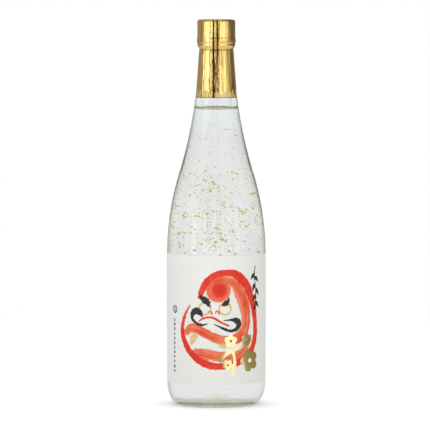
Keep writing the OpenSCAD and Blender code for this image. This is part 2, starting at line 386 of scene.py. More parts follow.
def run(a, b, rows):
    """Points between two points, without the first."""
    return [(a[0] + (b[0] - a[0]) * i / rows, a[1] + (b[1] - a[1]) * i / rows)
            for i in range(1, rows + 1)]


def chain(start, *legs):
    """Points of a bent line: its start, then each leg's end and number of rows."""
    points = [start]
    for end, rows in legs:
        points += run(start, end, rows)
        start = end
    return points


def helix_lift(angle, z, start, start_angle, half_root, half_crest):
    """Share of a thread's height at a point, 1 on its crest and 0 beside it."""
    lift = 0
    for lap in range(3):
        turns = ((angle - start_angle) % math.tau) / math.tau + lap
        if turns <= thread_turns:
            away = abs(z - start - thread_pitch * turns)
            run_out = ease(min(turns, thread_turns - turns), 0, 0.09)
            lift = max(lift, run_out * (1 - ease(away, half_crest, half_root)))
    return lift


ring_out = body_r - heel_w
bead_sink = 0.4 * MM
bead_half = math.degrees(math.acos(bead_sink / (thread_out + bead_sink)))
bead = arc((finish_r - bead_sink, bead_z), thread_out + bead_sink, bead_h / 2,
           -bead_half, bead_half, 10)
lip = arc((finish_r - lip_r, glass_top - lip_r), lip_r, lip_r, 0, 90, 6)
mouth = arc((bore_r + lip_r, glass_top - lip_r), lip_r, lip_r, 90, 180, 6)
outside = (
    dome(ring_out - ring_w, punt_h, 0)
    + arc((ring_out, heel_h), heel_w, heel_h, -90, 0, 20)
    + run((body_r, heel_h), (body_r, shoulder_z), body_rows)
    + outer_shoulder[1:]
    + run((neck_foot_r, neck_foot_z), (neck_r, neck_top_z), 6)
    + [(finish_r, undercut_z)] + bead
    + run(bead[-1], lip[0], finish_rows) + lip[1:])
in_r = body_r - wall
in_heel_w, in_heel_h = heel_w * 0.8, heel_h - base_t
inside = (
    dome(in_r - in_heel_w, punt_h, base_t)
    + arc((in_r - in_heel_w, heel_h), in_heel_w, in_heel_h, -90, 0, 20)[1:]
    + run((in_r, heel_h), (in_r, shoulder_z), body_rows)
    + inner_shoulder[1:])
glass = turned(outside + mouth + inside[::-1], glass_steps)


def glass_thread(angle, z, r):
    """The rule that lifts the wall of the finish along the thread."""
    if r < finish_r - MM or z < bead_z:
        return 0, 0
    return thread_out * helix_lift(angle, z, thread_z, 0, 1.05 * MM, 0.4 * MM), 0


reshape(glass, glass_thread)
piece("bottle_glass", glass, glass_finish, "bottle", "clear_glass", "glass_bottle")

# %% [markdown]
# ## The sake
# The liquid wets the glass. If its mesh stopped short of the wall, light would cross a film of
# air and the bottle would look silvered, so it reaches a tenth of a millimetre into the glass.
# Where it meets the wall its surface climbs in a small curve, the meniscus.

# %% Sake
soak = 0.1 * MM
meniscus_w, meniscus_h = 1.2 * MM, 0.4 * MM
wet = [(r, z - soak) for r, z in dome(in_r - in_heel_w, punt_h, base_t)]
wet += [(r + soak, z) for r, z in inside[len(wet):] if z < fill_z - meniscus_h]
edge_r = level(inner_shoulder, fill_z) + soak
wet.append((edge_r, fill_z))
wet += arc((edge_r - meniscus_w, fill_z), meniscus_w, meniscus_h, 0, -90, 6)[1:]
wet.append((0, fill_z - meniscus_h))
piece("sake_liquid", turned(wet, glass_steps), sake_finish, "bottle", "sake", "sake_fill")

# %% [markdown]
# ## Gold leaf
# Leaf is far thinner than paper. In sake it drifts as torn, curled scraps: some lie flat to the
# eye and flash, and most are seen nearly edge-on as short bent lines. Each scrap is a small grid
# whose corners are torn in, rolled about its long side and turned at random. A seed fixes the
# draws, so the same scraps come back on each run. A real bottle throws light onto its leaf like a
# lens. The light paths here leave that out, so the leaf gives off a little instead.

# %% Gold leaf finish
leaf_finish, net = new_finish("gold_leaf")
tone = net.grain(700, detail=2)
leaf_colour = net.mix(net.step(tone, 0.35, 0.60), (0.84, 0.66, 0.17), (1.0, 0.76, 0.20))
net.out(net.surface(Base_Color=leaf_colour, Metallic=0.55,
                    Emission_Color=leaf_colour, Emission_Strength=0.26,
                    Roughness=net.step(tone, 0.2, 0.8, 0.18, 0.42),
                    Normal=net.bump(net.grain(2600, detail=2), 0.12 * MM)))

# %% Gold leaf
draw = random.Random(7)
leaf_t = 0.03 * MM
wall_gap = 2.2 * MM  # how far a scrap's middle stays off the glass
bed_gap = 1.3 * MM  # how high a sunk scrap's middle is over the floor
sunk_count = 34


def scrap(bm, centre, length, width, flat=False):
    """One torn scrap of leaf: a small grid with uneven edges, rolled and turned."""
    grid = bmesh.ops.create_grid(bm, x_segments=4, y_segments=2, size=0.5)["verts"]
    curl = draw.uniform(-1.6, 1.6)
    twist = draw.uniform(-0.8, 0.8)
    for v in grid:
        x, y = v.co.x, v.co.y
        tear = 1 - 0.5 * abs(2 * x) ** 2 + draw.uniform(-0.25, 0.1)
        bend = curl * (x * x - 0.25) + twist * x * y + draw.uniform(-0.06, 0.06)
        v.co = Vector((x * length, y * width * tear, bend * length * 0.6))
    heading = Matrix.Rotation(draw.uniform(0, math.tau), 4, "Z")
    tilt = Matrix.Rotation(draw.uniform(0, math.pi), 4, "X")
    turn = heading if flat else heading @ tilt @ Matrix.Rotation(draw.uniform(0, 3), 4, "Z")
    bmesh.ops.transform(bm, matrix=Matrix.Translation(centre) @ turn, verts=grid)


def free_r(z):
    """Free radius for a scrap at a height."""
    return (in_r if z < shoulder_z else level(inner_shoulder, z)) - wall_gap


def drift(bm, count, low, high, longest, spread=1.0, shift=0.0, shortest=0.35):
    """Scatters scraps between two heights, in a column of a share of the free radius."""
    for _ in range(count):
        z = draw.uniform(low, high)
        r = free_r(z) * spread * math.sqrt(draw.random())
        a = draw.uniform(0, math.tau)
        length = longest * (shortest + (1 - shortest) * draw.random() ** 2)
        x = r * math.cos(a) + shift
        scrap(bm, (x, r * math.sin(a), z), length, length * draw.uniform(0.4, 1.0))


drifting = bmesh.new()
for count, low, high, longest in (
        (170, 24 * MM, 112 * MM, 2.6 * MM), (560, 112 * MM, 152 * MM, 2.5 * MM),
        (230, 150 * MM, 180 * MM, 2.2 * MM), (110, 178 * MM, fill_z - 14 * MM, 1.8 * MM)):
    drift(drifting, count, low, high, longest)
drift(drifting, 18, 148 * MM, 180 * MM, 3.6 * MM, spread=0.24, shift=-3 * MM, shortest=0.6)
bmesh.ops.solidify(drifting, geom=drifting.faces[:], thickness=leaf_t)
piece("gold_leaf_drifting", drifting, leaf_finish, "bottle", "gold_leaf", "gold_leaf_floating")

settled = bmesh.new()
bed_r = in_r - in_heel_w
for _ in range(sunk_count):
    r = bed_r * math.sqrt(draw.random())
    a = draw.uniform(0, math.tau)
    rise = base_t + punt_h * (1 - (r / bed_r) ** 2)
    scrap(settled, (r * math.cos(a), r * math.sin(a), rise + bed_gap),
          draw.uniform(1.2, 3.2) * MM, draw.uniform(0.6, 1.6) * MM, flat=True)
bmesh.ops.solidify(settled, geom=settled.faces[:], thickness=leaf_t)
piece("gold_leaf_sunk", settled, leaf_finish, "bottle", "gold_leaf", "gold_leaf_settled")

# %% [markdown]
# ## The label's painting
# The label carries a doll's face and robe painted with a loaded brush. A brush stroke is a path
# with a width at each point. How far a point of the paper is from the path gives the edge of the
# paint, and where it sits across the stroke gives the streaks that the bristles leave when the
# brush runs dry. The label's own fine grid holds four amounts of pigment at each point, which are
# vermilion, black ink, ochre and gold foil, and the finish turns them into colours. Nothing is
# drawn as letters: a sprig, plum blossoms and plain rules fill the places for type.

# %% The label's grid, in millimetres
label_r = reach("wrap_label") - 0.04 * MM
wrap_half = math.radians(150)  # how far round the bottle the label goes to each side
label_half = wrap_half * label_r / MM
art_half = 46.0  # the finely divided part, each side of the front
art_columns, side_columns, label_rows = 184, 14, 200


def across(share):
    """Place across the label for a share of the grid from -1 to 1: fine in front."""
    fine = art_columns / (art_columns + 2 * side_columns)
    if abs(share) <= fine:
        return share / fine * art_half
    rest = (abs(share) - fine) / (1 - fine)
    return math.copysign(art_half + rest * (label_half - art_half), share)


sheet = bmesh.new()
bmesh.ops.create_grid(sheet, x_segments=art_columns + 2 * side_columns,
                      y_segments=label_rows, size=1)
foot_mm, top_mm = foot("wrap_label") / MM, top("wrap_label") / MM
for v in sheet.verts:
    v.co.x = across(v.co.x)
    v.co.y = foot_mm + (v.co.y + 1) / 2 * (top_mm - foot_mm)
place_s = np.array([v.co.x for v in sheet.verts])
place_z = np.array([v.co.y for v in sheet.verts])
pigment = np.zeros((len(place_s), 4))
RED, INK, OCHRE, FOIL = range(4)
print(f"the label's grid has {len(place_s)} points")


# %% Brushes
def lumps(x, y, seed):
    """Smooth noise from 0 to 1 over arrays of places, one lump to the unit."""
    table = np.random.default_rng(seed).random((64, 64))
    x0, y0 = np.floor(x).astype(int), np.floor(y).astype(int)
    u, v = x - x0, y - y0
    u, v = u * u * (3 - 2 * u), v * v * (3 - 2 * v)
    a, b = table[x0 % 64, y0 % 64], table[(x0 + 1) % 64, y0 % 64]
    c, d = table[x0 % 64, (y0 + 1) % 64], table[(x0 + 1) % 64, (y0 + 1) % 64]
    return (a * (1 - u) + b * u) * (1 - v) + (c * (1 - u) + d * u) * v


def eased(x, low, high):
    t = np.clip((x - low) / (high - low), 0, 1)
    return t * t * (3 - 2 * t)


def smooth_path(points, steps=8):
    """A smooth path with a width, through points of (across, height, width)."""
    p = [points[0], *points, points[-1]]
    path = []
    for a, b, c, d in zip(p, p[1:], p[2:], p[3:]):
        for i in range(steps):
            t = i / steps
            path.append([0.5 * (2 * q + (r - o) * t + (2 * o - 5 * q + 4 * r - s) * t * t
                                + (3 * q - o - 3 * r + s) * t ** 3)
                         for o, q, r, s in zip(a, b, c, d)])
    return np.array(path + [points[-1]], float)


def lay(kind, where, amount):
    """Adds a pigment where there is less of it."""
    pigment[where, kind] = np.maximum(pigment[where, kind], amount)


def tell(done):
    """Prints how much of the grid holds paint so far."""
    print(f"{done}: {100 * float((pigment.max(axis=1) > 0.1).mean()):.1f} % of the grid is painted")


def stroke(kind, points, load=1.0, soft=0.5, ragged=0.5, dry=0.0, streaks=9, seed=1,
           fade=(0.0, 0.0)):
    """Lays one brush stroke. dry is how streaky it is, and fade how much less at each end."""
    path = smooth_path(points)
    widest = path[:, 2].max() / 2 + 1
    near = ((place_s > path[:, 0].min() - widest) & (place_s < path[:, 0].max() + widest)
            & (place_z > path[:, 1].min() - widest) & (place_z < path[:, 1].max() + widest))
    s, z = place_s[near], place_z[near]
    best = np.full(len(s), 1e9)
    along, side, width = np.zeros(len(s)), np.zeros(len(s)), np.ones(len(s))
    for i, (a, b) in enumerate(zip(path, path[1:])):
        ds, dz = b[0] - a[0], b[1] - a[1]
        t = np.clip(((s - a[0]) * ds + (z - a[1]) * dz) / (ds * ds + dz * dz + 1e-9), 0, 1)
        off_s, off_z = s - a[0] - t * ds, z - a[1] - t * dz
        far = np.hypot(off_s, off_z)
        closer = far < best
        best = np.where(closer, far, best)
        along = np.where(closer, (i + t) / (len(path) - 1), along)
        side = np.where(closer, np.sign(ds * off_z - dz * off_s) * far, side)
        width = np.where(closer, a[2] + (b[2] - a[2]) * t, width)
    edge = width / 2 + (lumps(s / 0.9, z / 0.9, seed) - 0.5) * ragged
    amount = eased(edge - best, -soft / 2, soft / 2)
    bristle = lumps(side / np.maximum(width, 1) * streaks + 31, along * 4, seed + 1)
    amount *= 1 - dry * eased(bristle, 0.35, 0.75)
    amount *= 1 - fade[0] * (1 - eased(along, 0, 0.25)) - fade[1] * eased(along, 0.75, 1)
    wash = 0.82 + 0.36 * (lumps(s / 4, z / 4, seed + 2) - 0.5)
    lay(kind, near, np.clip(amount * load * wash * 1.1, 0, 1))


def dab(kind, s, z, r, load=1.0, soft=0.6, ragged=0.5, tall=1.0, seed=1):
    """Lays one round touch of the brush."""
    far = np.hypot(place_s - s, (place_z - z) / tall)
    edge = r + (lumps(place_s / 1.1, place_z / 1.1, seed) - 0.5) * ragged
    lay(kind, slice(None), load * eased(edge - far, -soft / 2, soft / 2))


def ring(kind, s, z, r, width, load=1.0, seed=1):
    """Lays a round stroke whose width swells and thins three times."""
    points = [(s + r * math.cos(t), z + r * math.sin(t), width * (1 + 0.2 * math.sin(3 * t)))
              for t in (math.tau * i / 10 for i in range(11))]
    stroke(kind, points, load, ragged=0.35, seed=seed)


print("brushes ready")

# %% [markdown]
# The doll is drawn from the robe inwards. Each point is how far across the label from its
# middle, how high above the table, and how wide the brush is there, in millimetres.

# %% The robe
stroke(RED, [(-12.6, 86, 3.6), (-11.4, 91.5, 4.6), (-7, 98.5, 5), (0, 103.6, 4.6),
             (8, 105, 4.8), (15, 103.8, 6), (22.5, 98, 7.2), (28, 89.5, 6.6),
             (32.4, 77, 5.2), (34.6, 64, 4.6), (34, 54, 4.8), (30.5, 45, 5),
             (23, 38, 5.4), (13, 34, 5.2), (2, 32.4, 5), (-8, 34.2, 5.6),
             (-17.5, 39.8, 5.2), (-24.6, 47.5, 4.6), (-28.2, 56, 4), (-28.6, 64, 3.4),
             (-26, 72, 2.4), (-21.6, 79.6, 0.8)],
       ragged=0.7, dry=0.1, seed=3)
stroke(RED, [(-7, 92.5, 3), (-5, 96.6, 5.2), (1, 99.8, 5), (8.5, 99.6, 5.4), (15.2, 95.4, 7.2),
             (19.5, 88, 9.6), (23, 79.5, 10), (24.6, 70, 8.6), (23.4, 61.5, 8.4),
             (18, 55, 8.6), (11, 52.4, 8)],
       load=0.66, soft=1.4, ragged=0.9, dry=0.4, streaks=6, seed=11)
stroke(RED, [(-24, 59, 5.6), (-19.5, 62, 7.6), (-14, 60.6, 7.2), (-7.5, 57.4, 6.8), (0, 54.2, 7),
             (7, 52.6, 7.4), (14, 53.6, 7)],
       load=0.7, soft=1.2, ragged=0.8, dry=0.38, streaks=6, seed=15, fade=(0.1, 0))
stroke(RED, [(-17, 43.6, 4), (-11, 42.4, 7.4), (-2, 40.6, 8), (8, 39.6, 8), (17.5, 41.2, 7.6),
             (24, 46.6, 6), (28, 54, 4)],
       load=0.64, soft=1.2, ragged=1.4, dry=0.45, streaks=8, seed=19)
stroke(RED, [(-16.6, 46.4, 1.2), (-8, 45.6, 1.8), (0, 44.2, 1.2)], load=0.3, dry=0.8, seed=21)
tell("the robe")

# %% The forehead, the brows and the eyes
dab(RED, 1.6, 91.8, 9.6, load=0.5, soft=3, seed=23)
dab(RED, 2.4, 91.6, 6.6, soft=8, ragged=0.8, seed=24)
stroke(RED, [(4, 97.4, 0.8), (6, 94.6, 2.2), (8.4, 97, 1.6)], load=0.95, soft=1.2, seed=25)
for s, lean in ((-8.9, 1), (6.9, -1)):
    ring(OCHRE, s, 77.2, 4.6, 1.2, load=1.4, seed=27 + lean)
stroke(INK, [(-11.6, 86, 3.4), (-9.4, 84.2, 5.4), (-6.4, 81.4, 4.2), (-5.4, 79.8, 2)],
       ragged=1.4, seed=31)
stroke(INK, [(10, 85.4, 0.6), (9.4, 83, 2.6), (7.6, 81.4, 4.6), (4.8, 80.2, 1.6)],
       ragged=1.2, seed=33)
tell("the brows and eyes")

# %% The nose, the mouth and the whiskers
for s in (-4.8, 0.9):
    stroke(RED, [(s - 1.6, 73.4, 0.5), (s - 0.9, 75, 0.9), (s + 0.5, 75.2, 0.9),
                 (s + 1.4, 73.2, 1)], ragged=0.2, soft=0.4, seed=35)
stroke(RED, [(-13.6, 67.4, 0.8), (-10.8, 69.4, 1.3), (-6, 70.6, 1.3), (-1.6, 69.8, 1.5),
             (3.4, 66.8, 1.4), (9.4, 64, 1.2)], ragged=0.3, soft=0.4, seed=37)
stroke(INK, [(-11.2, 71.4, 1.6), (-13, 74, 4.6), (-16.2, 75.4, 5.4), (-18.9, 73.4, 4),
             (-19.4, 69.6, 2.4), (-16.4, 66.2, 2), (-11.6, 64.6, 2), (-6.6, 65.5, 0.7)],
       seed=41)
stroke(INK, [(6, 68, 0.7), (12, 68.4, 2.2), (16.4, 67.6, 5.2), (18, 65, 4.4), (16, 61.4, 3),
             (11.4, 59.9, 2.2), (5, 62, 1.8), (-1.4, 65, 0.7)], seed=43)
tell("the whiskers")

# %% The sash's ochre dabs, and the gold blossoms
stroke(OCHRE, [(-15.6, 57.2, 3), (-18, 54.6, 5.4), (-20, 50.4, 3.6)], load=0.9, dry=0.3, seed=45)
stroke(OCHRE, [(3, 48.6, 3.6), (6.4, 48.4, 4.6)], load=0.8, soft=1.2, dry=0.4, seed=47)


def blossom(s, z, size, seed):
    """Five petals of foil round a bare heart."""
    for i in range(5):
        t = math.tau * (i / 5 + 0.05 * seed)
        dab(FOIL, s + size * 0.6 * math.cos(t), z + size * 0.6 * math.sin(t), size * 0.42,
            soft=0.5, ragged=0.3, seed=seed)
    heart = np.hypot(place_s - s, place_z - z)
    pigment[:, FOIL] *= eased(heart, size * 0.16, size * 0.16 + 0.5)
    for i in range(5):
        t = math.tau * (i / 5 + 0.1 + 0.05 * seed)
        dab(FOIL, s + size * 0.3 * math.cos(t), z + size * 0.3 * math.sin(t), 0.45, soft=0.4)


stroke(FOIL, [(3, 37.4, 3), (7.6, 41.5, 2.4), (14, 45, 2.6), (21, 47, 2.2), (27, 51.5, 1.6),
              (29.6, 57, 0.8)], ragged=0.7, seed=51)
stroke(FOIL, [(13, 44.6, 2.2), (14.6, 36, 2.4), (13.2, 26.6, 3.2)], ragged=0.7, seed=53)
blossom(11.4, 52, 5.2, 1)
blossom(28.4, 36.4, 8.6, 2)
blossom(9, 33.4, 4.2, 3)
blossom(25, 52.6, 4.6, 4)
tell("the blossoms")

# %% The sprig, the crest and the rules
stroke(INK, [(34.6, 109, 1), (33.4, 103, 1.2), (34.4, 96, 0.9), (35.4, 88, 1.2),
             (34.8, 80, 0.9), (36.6, 74, 0.6)], seed=61)
for s, z, lean, long in ((34, 104, -4.6, 5), (33.6, 101.6, 5, 4.4), (34.4, 96, -3, 6),
                         (34.8, 92.6, 4.4, 6.4), (35.4, 87.4, -4, 5.2), (35, 82, 4, 5),
                         (35, 79, -2.6, 4.6)):
    stroke(INK, [(s, z, 0.5), (s + lean * 0.4, z - long * 0.35, 3.2),
                 (s + lean, z - long, 0.3)], ragged=0.4, seed=int(63 + z))
crest_s, crest_z = -37.7, 75.8
ring(INK, crest_s, crest_z, 2.5, 1.0, seed=71)
for t in (0.25, 0.58, 0.92):
    dab(INK, crest_s + math.cos(t * math.tau), crest_z + math.sin(t * math.tau), 0.62, soft=0.4)
for i in range(12):
    dab(INK, -38.2, 67.6 - 3.6 * i, 0.95, load=0.8, soft=0.5, ragged=0.8, tall=1.3, seed=73 + i)
stroke(INK, [(-41.8, 68, 0.45), (-41.8, 27, 0.45)], load=0.45, ragged=0.2, dry=0.4, seed=91)
stroke(INK, [(40.4, 108, 0.4), (40.4, 73, 0.4)], load=0.4, ragged=0.2, dry=0.5, seed=93)
tell("the sprig and rules")

# %% [markdown]
# ## The label
# The flat grid is rolled onto the bottle and given a paper's thickness. Its open ends are at the
# back, so the leaf can be seen through the gap. The pigments ride on the grid as an attribute.
# The finish mixes them over an off-white paper: thin vermilion reads as an orange wash and thick
# vermilion as deep red, the ink is a warm black, and the foil is metal with a painted reflection,
# pale in one band and olive beside it. Daylight soaks through real paper. The light paths here
# can't carry that through the glass, so the label's back gives off a little light of its own.

# %% Label finish
label_finish, net = new_finish("label_paper")
paint, foil = (net.add("ShaderNodeAttribute", {"attribute_name": "pigment"}, out=i)
               for i in (0, 3))
red, ink, ochre = (net.add("ShaderNodeSeparateColor", None, {0: paint}, out=i)
                   for i in range(3))
fibre = net.grain(900, detail=4, stretch=(1, 1, 0.6))
tooth = net.grain(3200, detail=3)
paper = net.mix(net.step(fibre, 0.3, 0.7), (0.79, 0.785, 0.735), (0.825, 0.82, 0.775))
soaked = red + (tooth - 0.5) * 0.16
vermilion = net.add("ShaderNodeValToRGB", {"stops": (
    (0.0, (0.84, 0.58, 0.46)), (0.3, (0.82, 0.27, 0.14)), (0.52, (0.78, 0.13, 0.055)),
    (0.74, (0.76, 0.045, 0.018)), (1.0, (0.70, 0.022, 0.012)))}, {"Fac": soaked})
colour = net.mix(net.step(red, 0.02, 0.3), paper, vermilion)
colour = net.mix(net.step(ochre, 0.05, 0.8, 0, 0.9), colour, (0.76, 0.42, 0.09))
colour = net.mix(net.step(ink + (tooth - 0.5) * 0.3, 0.15, 0.75), colour, (0.032, 0.026, 0.024))
gilt = net.step(foil, 0.35, 0.65)
# Painted reflection: the foil is pale gold from about 3 to 25 mm right of the front and olive
# outside it, as if it mirrored a bright strip.
painted_foil_reflection = net.step(net.axis(0), 3 * MM, 10 * MM) * (1 - net.step(net.axis(0), 15 * MM, 25 * MM))
painted_foil_reflection = painted_foil_reflection + (net.grain(70, detail=1) - 0.5) * 1.2
foil_colour_and_reflection = net.mix(net.step(painted_foil_reflection, 0, 1), (0.36, 0.29, 0.10), (1.0, 0.90, 0.50))
colour = net.mix(gilt, colour, foil_colour_and_reflection)
net.out(net.surface(
    Base_Color=colour, Metallic=gilt,
    Roughness=net.step(gilt, 0, 1, 0.62, 0.24) + (fibre - 0.5) * 0.12,
    Normal=net.bump(fibre + tooth * 0.5 + gilt * 0.6, 0.05 * MM, 0.7),
    Specular_IOR_Level=0.3))
back_finish, net = new_finish("label_back")
fibre = net.grain(900, detail=4)
net.out(net.surface(Base_Color=net.mix(fibre, (0.74, 0.74, 0.70), (0.82, 0.82, 0.79)),
                    Roughness=0.8, Normal=net.bump(fibre, 0.05 * MM), Emission_Strength=0.42,
                    Emission_Color=net.mix(fibre, (0.88, 0.88, 0.82), (1.0, 1.0, 0.95))))

# %% Label
for v in sheet.verts:
    t = v.co.x * MM / label_r
    v.co = (label_r * math.sin(t), -label_r * math.cos(t), v.co.y * MM)
label = piece("label_sheet", sheet, label_finish, "bottle", "label_paper", "wrap_label")
label.data.materials.append(back_finish)
attribute = label.data.attributes.new("pigment", "FLOAT_COLOR", "POINT")
attribute.data.foreach_set("color", pigment.astype(np.float32).ravel())
paper_t = label.modifiers.new("paper", "SOLIDIFY")
paper_t.thickness = label_r - body_r - 0.02 * MM
paper_t.offset = -1
paper_t.material_offset = 1
print(f"the label is {2 * label_half:.1f} mm by {top_mm - foot_mm:.1f} mm")

# %% [markdown]
# ## The gold film
# The capsule is a thin metallised plastic sleeve that was shrunk on with heat. It draws in
# unevenly, which leaves long upright wrinkles, and its rolled seam runs down the front with a
# ragged edge. The wrinkles are rolled into the mesh itself, because a mirror-like film shows its
# shape in its reflections, and only the finest crackle is left to a bump. The tightest folds,
# beside the seam, return no light at all, so the finish draws those as dark creases. The film is
# cut at the break line, so the part over the cap turns with the cap.

# %% Film finish
film_finish, net = new_finish("gold_film")
streak = net.grain(420, detail=4, rough=0.6, stretch=(1, 1, 0.07))
crackle = net.grain(900, detail=3, stretch=(1, 1, 0.45))
tarnish = net.grain(120, detail=3, stretch=(1, 1, 0.2))
film_colour_and_shade = net.mix(net.step(tarnish, 0.35, 0.7), (0.94, 0.68, 0.25), (0.90, 0.60, 0.19))
# Painted shade: the film is darkened to brown along its fine upright streaks.
film_colour_and_shade = net.mix(net.step(streak, 0.54, 0.70) * 0.75, film_colour_and_shade, (0.40, 0.21, 0.05))
# Painted shade: the film turns browner and darker towards its edges, where it faces away from the
# eye.
grazing = net.add("ShaderNodeLayerWeight", out=1)
film_colour_and_shade = net.mix(net.step(grazing, 0.25, 0.80), film_colour_and_shade, (0.58, 0.29, 0.06))
x, y, z = (net.axis(i) for i in range(3))
wavy = x + (net.grain(160, detail=3, stretch=(1, 1, 0.6)) - 0.5) * (1.6 * MM)


def crease(low, high):
    """Painted shade of a tight fold along the seam, between two places across the front."""
    return net.band(wavy, low, high, 0.25 * MM)


creases = crease(-3.0 * MM, -1.5 * MM) + crease(0.1 * MM, 1.4 * MM) * net.step(z, 0.252, 0.258)
creases = creases + crease(-1.3 * MM, -0.1 * MM) * 0.35
creases = creases * net.step(0 - y, 8 * MM, 11 * MM) * net.step(streak, 0.3, 0.5, 0.6, 0.95)
# Painted shade: the creases beside the seam are drawn near black.
film_colour_and_shade = net.mix(creases, film_colour_and_shade, (0.035, 0.018, 0.006))
net.out(net.surface(
    Base_Color=film_colour_and_shade, Metallic=1.0, Roughness=net.step(crackle, 0.3, 0.75, 0.09, 0.20),
    Normal=net.bump(streak * 0.6 + crackle * 0.4, 0.12 * MM, 0.3)))

# %% Wrinkles
film_t = 0.12 * MM
film_steps = 420
seam = math.radians(-90)  # the seam is at the front
fold_count = 17
folds = [(math.tau * (i + draw.uniform(-0.4, 0.4)) / fold_count, draw.uniform(0.25, 0.8),
          draw.uniform(0.02, 0.06)) for i in range(fold_count)]


def ripple(angle, dense, z, tall, seed=0):
    """Noise round a film, finer where dense is more, with lumps so tall."""
    return noise.noise(Vector((math.cos(angle) * dense, math.sin(angle) * dense, z / tall + seed)))


def wrinkle(angle, z, deep, seed):
    """How far the shrunk film stands out at an angle and a height."""
    bent = angle + 0.07 * ripple(angle, 3, z, 12 * MM, seed)
    broad = ripple(bent, 6, z, 60 * MM, seed)
    fine = ripple(angle, 18, z, 25 * MM, seed)
    kink = ripple(angle, 9, z, 4 * MM, 3 * seed)
    rise = 0.2 + 0.5 * broad + 0.14 * (1 - 2.2 * abs(fine)) + 0.04 * kink
    for at, height, width in folds:
        away = (bent - at + math.pi) % math.tau - math.pi
        rise += height * math.exp(-(away / width) ** 2)
    return deep * rise


def seam_lift(angle, z, seed):
    """The overlap: it ends in a ragged edge on one side and runs out slowly on the other."""
    away = (angle - seam + math.pi) % math.tau - math.pi
    rag = 0.05 * noise.noise(Vector((0, seed, z / 0.0045))) + 0.03 * noise.noise(
        Vector((4, seed, z / 0.0016)))
    return ease(away, rag - 0.02, rag + 0.03) * (1 - ease(away, 0.3, 0.8))


print(f"{fold_count} tall folds round the film")

# %% Hood
cap_corner = 1.8 * MM
roll_r, roll_h = 0.45 * MM, 1.7 * MM
cap_r = reach("screw_cap") - roll_r
film_ease = 1.6 * MM  # height over which the film eases out to the rolled foot
disc_r = reach("capsule_top")
knurl_out = 0.12 * MM
hood_side = cap_r + knurl_out + 0.03 * MM
hood_top = top("capsule_hood")
hood_foot_r = reach("capsule_hood") - film_t
window_r = disc_r - 1.6 * MM  # the open middle that the disc closes
hood_corner = cap_corner + hood_side - cap_r
corner_z = hood_top - film_t - hood_corner
hood_in = (
    run((window_r - MM, hood_top - film_t), (hood_side - hood_corner, hood_top - film_t), 6)
    + arc((hood_side - hood_corner, corner_z), hood_corner, hood_corner, 90, 0, 8)[1:]
    + chain((hood_side, corner_z), ((hood_side, cap_foot + roll_h + film_ease), 22),
            ((hood_foot_r, cap_foot + roll_h * 0.6), 4), ((hood_foot_r, cap_foot), 4))[1:])


def shell(inner, thick):
    """A closed outline: the inner line down, then back up it a film's thickness further out."""
    outer = []
    for i, (r, z) in enumerate(inner):
        before, after = inner[max(i - 1, 0)], inner[min(i + 1, len(inner) - 1)]
        dr, dz = after[0] - before[0], after[1] - before[1]
        size = math.hypot(dr, dz)
        outer.append((r - thick * dz / size, z + thick * dr / size))
    return inner + outer[::-1]


def hood_wrinkles(angle, z, r):
    """The rule for the hood: wrinkles on its side and pleats on its top."""
    grip = ease(r, window_r + MM, hood_side)
    fold = ripple(angle, 16, r, 20 * MM)
    out = grip * (wrinkle(angle, z, 0.12 * MM, 5) + 0.02 * MM * seam_lift(angle, z, 2))
    return max(0, out), -0.05 * MM * abs(fold) * (1 - grip)


hood = turned(shell(hood_in, film_t), film_steps, closed=True)
reshape(hood, hood_wrinkles)
piece("film_hood", hood, film_finish, "cap", "gold_film", "capsule_hood")

# %% [markdown]
# The disc under the hood's rim has a shallow pressed ring, so it catches the light as a real
# top does and stays stiff.

# %% Disc
disc_foot, disc_top = foot("capsule_top"), top("capsule_top")
disc_face = disc_top - 0.02 * MM
disc_line = chain((0, disc_face), ((disc_r, disc_face), 26)) + [(disc_r, disc_foot), (0, disc_foot)]
disc = turned(disc_line, 96)


def pressed(angle, z, r):
    """The rule for the disc's upper side: a pressed ring and a fine grain."""
    dip = math.exp(-((r - 8.2 * MM) / (0.5 * MM)) ** 2)
    grain = noise.noise(Vector((math.cos(angle) * r / 0.002, math.sin(angle) * r / 0.002, 1)))
    return 0, (-0.04 * MM * dip + 0.012 * MM * grain) * (1 if z > disc_foot + 0.05 * MM else 0)


reshape(disc, pressed)
piece("film_disc", disc, film_finish, "cap", "gold_film", "capsule_top")

# %% Skirt
skirt_r = hood_foot_r
hug = 0.06 * MM  # how far the film stands off what it is shrunk on
rim_z = break_z - 0.7 * MM
step_z = break_z - 1.8 * MM
under_band_z = band_foot - 0.03 * MM
film_foot_r = neck_r + (neck_top_z - film_foot) * math.tan(neck_lean)
skirt_in = chain(
    (skirt_r, break_z), ((skirt_r, rim_z), 3), ((cap_r + hug, step_z), 4),
    ((cap_r + hug, under_band_z), 5), ((finish_r + hug, undercut_z), 6),
    ((neck_r + hug, neck_top_z), 4), ((film_foot_r + hug, film_foot), 44))


def skirt_wrinkles(angle, z, r):
    """The rule for the skirt: wrinkles below its rim, and a foot that waves a little."""
    free = 1 - ease(z, break_z - 1.5 * MM, break_z - 0.1 * MM)
    grip = 0.35 + 0.65 * ease(break_z - z, 2 * MM, 8 * MM)
    wave = 0.35 * MM * ripple(angle, 4, 0, 1, 9)
    cut = wave * (1 - ease(z, film_foot, film_foot + 4 * MM))
    out = free * grip * (wrinkle(angle, z, 0.36 * MM, 1) + 0.05 * MM * seam_lift(angle, z, 1))
    return max(0, out), max(0, cut)


skirt = turned(shell(skirt_in, film_t), film_steps, closed=True)
reshape(skirt, skirt_wrinkles)
piece("film_skirt", skirt, film_finish, "bottle", "gold_film", "capsule_skirt")

# %% [markdown]
# ## The screw cap and its band
# Under the film is a rolled aluminium cap. Its sheet is one thickness everywhere, so knurls and
# the rolled thread push the outer and the inner side the same way, and one rule moves both. The
# tamper band is a separate ring that stays on the bottle, tucked in under the glass bead.

